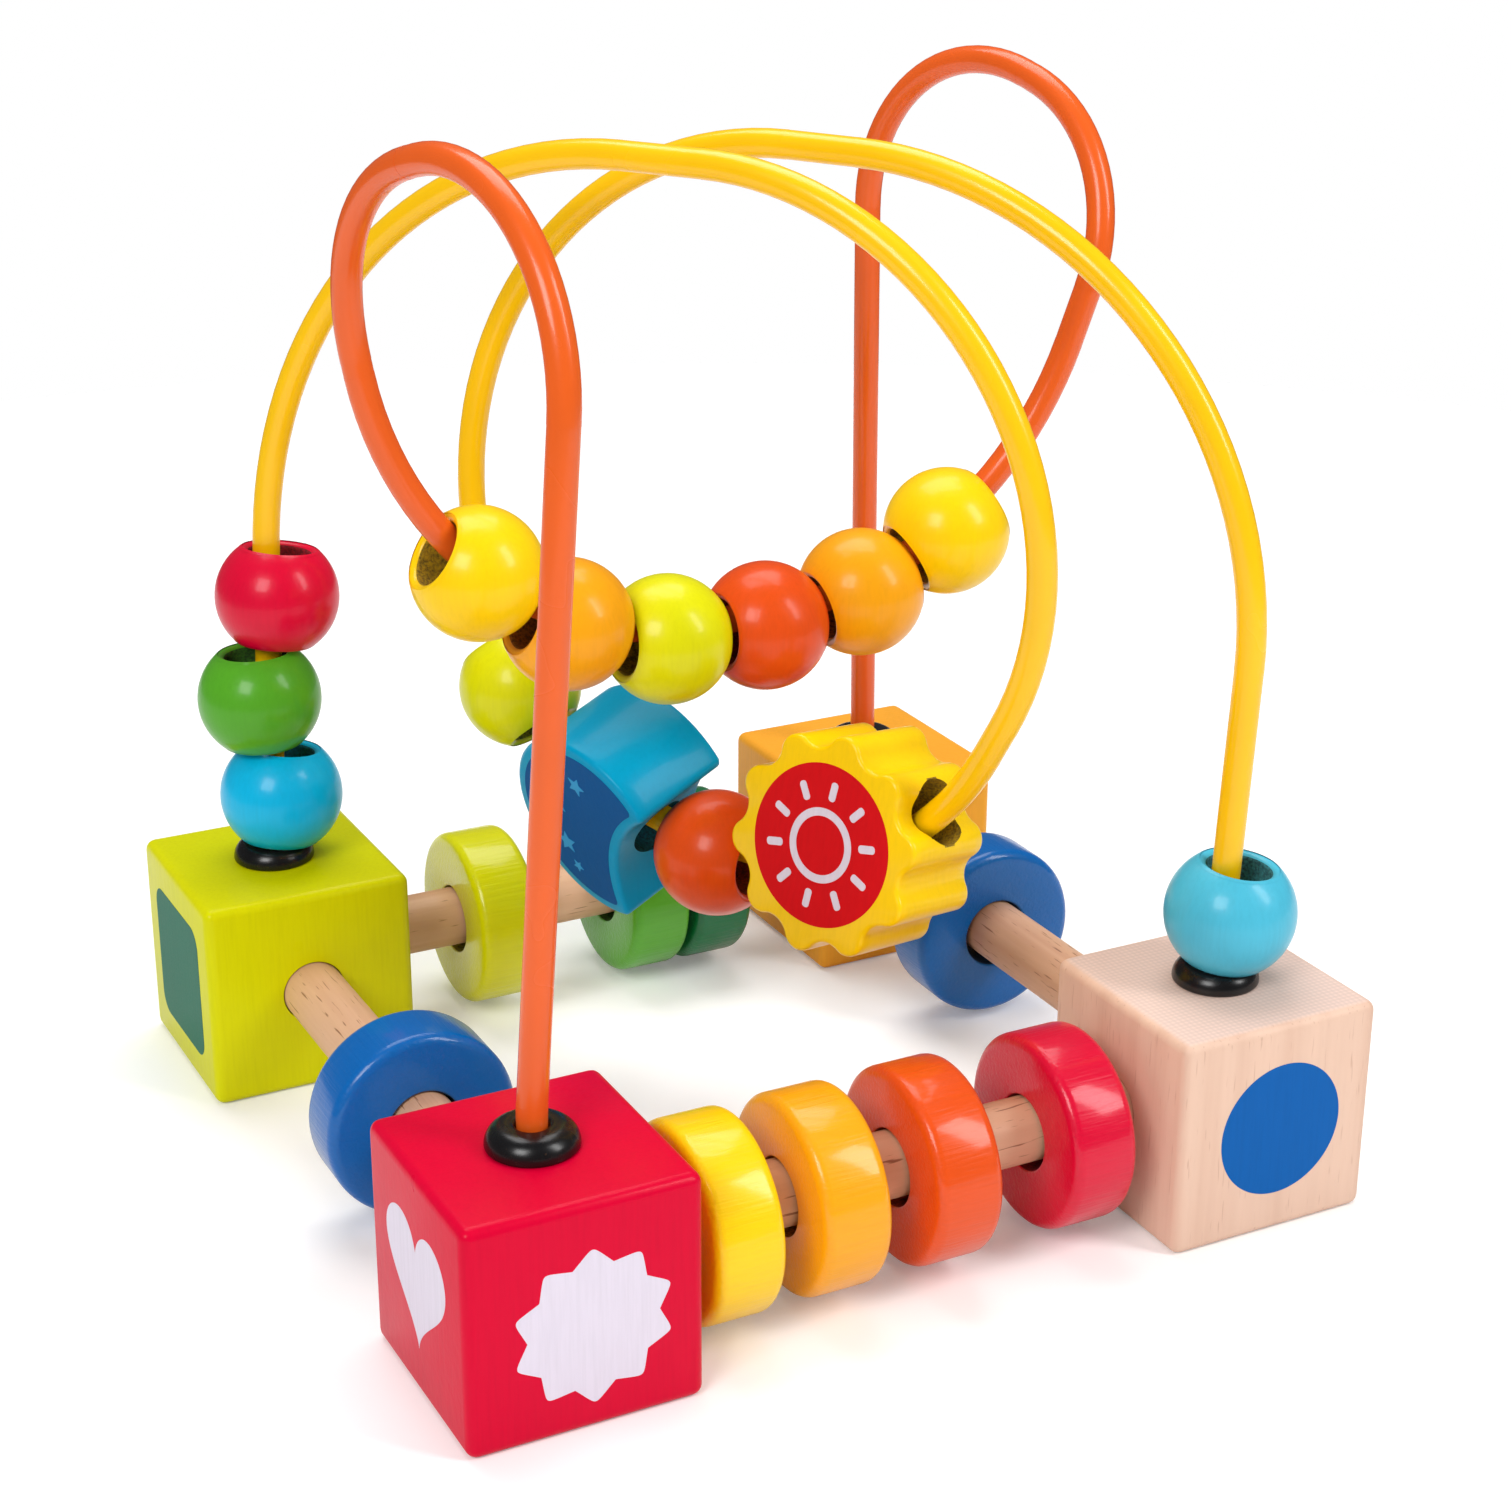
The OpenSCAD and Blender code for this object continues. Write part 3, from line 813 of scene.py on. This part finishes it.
def zigzag(turn):
    # Distance to a star of straight edges with softened tips
    step = math.pi / BURST_POINTS
    off = abs((turn + step) % (2 * step) - step) / step
    soft = 0.16
    along = (math.sqrt(off * off + soft * soft) - soft) / (math.sqrt(1 + soft * soft) - soft) * step
    across = BURST_R * math.sin(along) + BURST_NOTCH_R * math.sin(step - along)
    return BURST_R * BURST_NOTCH_R * math.sin(step) / across


def heart_point(turn):
    # Point of the usual heart curve, brought to its size
    x = math.sin(turn) ** 3
    y = (13 * math.cos(turn) - 5 * math.cos(2 * turn) - 2 * math.cos(3 * turn) - math.cos(4 * turn)) / 29
    return Vector((x * HEART_WIDE / 2, (y + 0.09) * HEART_TALL, 0))


burst = flat_round("print_burst", BURST_R, 400)
for point in burst.data.vertices:
    point.co = point.co.normalized() * zigzag(math.atan2(point.co.x, point.co.y))
lay_print(burst, on_face("block_red", (0, -1, 0), BURST_SPOT), "frame", white_print)

heart = flat_round("print_heart", HEART_WIDE / 2, 160)
for point in heart.data.vertices:
    point.co = heart_point(math.atan2(point.co.x, point.co.y))
lay_print(heart, on_face("block_red", (-1, 0, 0)), "frame", white_print)

dot = flat_round("print_dot", DOT_R, 200)
lay_print(dot, on_face("block_natural", (0, -1, 0), DOT_SPOT), "frame", blue_print)


def round_corners(piece, radius, segments):
    alone(piece)
    start_edit("SELECT")
    bpy.ops.mesh.bevel(offset=radius, segments=segments, affect="VERTICES")
    end_edit()


deselect()
bpy.ops.mesh.primitive_plane_add(size=TILE)
tile = fresh("print_tile")
round_corners(tile, TILE_CORNER, 8)
lay_print(tile, on_face("block_lime", (-1, 0, 0)), "frame", green_print)


# Prints on the sun and the moon: a panel each, with an open ring and rays, or stars, over it
def joined(name, pieces):
    alone(pieces[0])
    for piece in pieces:
        piece.select_set(True)
    bpy.ops.object.join()
    return fresh(name)


def ray(turn):
    deselect()
    bpy.ops.mesh.primitive_plane_add(size=1)
    piece = fresh("ray")
    for point in piece.data.vertices:
        spot = Vector((RAY_MIDDLE + point.co.x * RAY_LONG, point.co.y * RAY_WIDE, 0))
        point.co = Matrix.Rotation(turn, 3, "Z") @ spot
    round_corners(piece, RAY_ROUND, 4)
    return piece


def star(x, y, radius, turn):
    piece = flat_round("star", radius, 10)
    for i, point in enumerate(piece.data.vertices):
        angle = turn + i * math.pi / 5
        reach = radius if i % 2 else STAR_WAIST * radius
        point.co = Vector((x, y, 0)) + reach * Vector((math.cos(angle), math.sin(angle), 0))
    return piece


on_wood = Matrix.Translation((0, 0, SHAPE_T / 2 - FILM_SINK))
on_panel = Matrix.Translation((0, 0, SHAPE_T / 2 + SECOND_FILM_LIFT))

panel = flat_round("print_sun_panel", SUN_PANEL_R, 200)
lay_print(panel, sun_place @ on_wood, "sun", red_print)

hoop = flat_round("print_sun_hoop", HOOP_R, 160)
start_edit()
bpy.ops.mesh.select_mode(type="FACE")
bpy.ops.mesh.select_all(action="SELECT")
bpy.ops.mesh.inset(thickness=HOOP_WIDE)
bpy.ops.mesh.delete(type="FACE")
end_edit()
lay_print(hoop, sun_place @ on_panel, "sun", white_print)

rays = joined("print_sun_rays", [ray((i + 0.5) * 2 * math.pi / RAYS) for i in range(RAYS)])
lay_print(rays, sun_place @ on_panel, "sun", white_print)

night = crescent("print_moon_panel", NIGHT_INSET, NIGHT_TIP_R)
lay_print(night, moon_place @ on_wood, "moon", night_print)

star_pieces = [star(x * MM, y * MM, size * MM, turn) for x, y, size, turn in STARS]
stars = joined("print_moon_stars", star_pieces)
lay_print(stars, moon_place @ on_panel, "moon", pale_print)

# Rails and wires keep their solids
KEPT = {
    "rail_front": beech_x,
    "rail_back": beech_x,
    "rail_left": beech_y,
    "rail_right": beech_y,
    "wire_orange": coat_orange,
    "wire_yellow": coat_yellow,
}
for name, material in KEPT.items():
    dress(nodes[name], material)


# Studio floor: white to the camera, and it keeps the shadow
def studio_floor(radius, glow):
    deselect()
    bpy.ops.mesh.primitive_circle_add(vertices=128, radius=radius, fill_type="NGON")
    floor = fresh("floor")
    material, tree, shader = new_material("floor_white")
    fill(shader, {"Base Color": (0.92, 0.92, 0.92, 1), "Roughness": 0.9, "Specular IOR Level": 0.2})
    fill(shader, {"Emission Color": WHITE})
    seen = node(tree, "ShaderNodeLightPath").outputs["Is Camera Ray"]
    tree.links.new(between(tree, seen, 0.0, glow), shader.inputs["Emission Strength"])
    dress(floor, material)


# Studio air: white to the camera, a soft fill on the object and little glare on its paint
def studio_air(fill_light, glare):
    world = bpy.data.worlds.new("studio")
    world.use_nodes = True
    bpy.context.scene.world = world
    tree = world.node_tree
    path = node(tree, "ShaderNodeLightPath")
    soft = tree.nodes["Background"]
    fill(soft, {"Color": WHITE})
    tree.links.new(between(tree, path.outputs["Is Glossy Ray"], fill_light, glare), soft.inputs["Strength"])
    white = node(tree, "ShaderNodeBackground", {"Color": WHITE, "Strength": 1.0})
    seen = node(tree, "ShaderNodeMixShader")
    tree.links.new(path.outputs["Is Camera Ray"], seen.inputs[0])
    tree.links.new(soft.outputs[0], seen.inputs[1])
    tree.links.new(white.outputs[0], seen.inputs[2])
    tree.links.new(seen.outputs[0], tree.nodes["World Output"].inputs["Surface"])


def soft_box(name, place, aim, size, power):
    light = bpy.data.lights.new(name, "AREA")
    light.shape = "RECTANGLE"
    light.size, light.size_y = size
    light.energy = power
    lamp = bpy.data.objects.new(name, light)
    lamp.location = place
    lamp.rotation_euler = (Vector(aim) - Vector(place)).to_track_quat("-Z", "Y").to_euler()
    bpy.context.scene.collection.objects.link(lamp)


studio_floor(radius=0.62, glow=0.16)
studio_air(fill_light=0.36, glare=0.10)
soft_box("key_box", place=(-0.75, -0.55, 0.75), aim=(0, 0, 0.08), size=(0.45, 0.45), power=6.2)
soft_box("side_box", place=(0.55, -0.65, 0.70), aim=(0, 0, 0.08), size=(0.25, 0.6), power=4.6)
soft_box("top_box", place=(0.1, 0.35, 1.0), aim=(0, 0, 0.05), size=(0.8, 0.6), power=6.2)

# The photograph's camera
camera = bpy.data.cameras.new("camera")
camera.lens = 67.04
camera.sensor_width = 36
camera.clip_start = 0.01
eye = bpy.data.objects.new("camera", camera)
eye.location = (-0.21982, -0.43641, 0.26628)
eye.rotation_euler = (math.radians(68.546), math.radians(-0.221), math.radians(-27.366))
bpy.context.scene.collection.objects.link(eye)
bpy.context.scene.camera = eye
bpy.context.scene.view_settings.view_transform = "Standard"
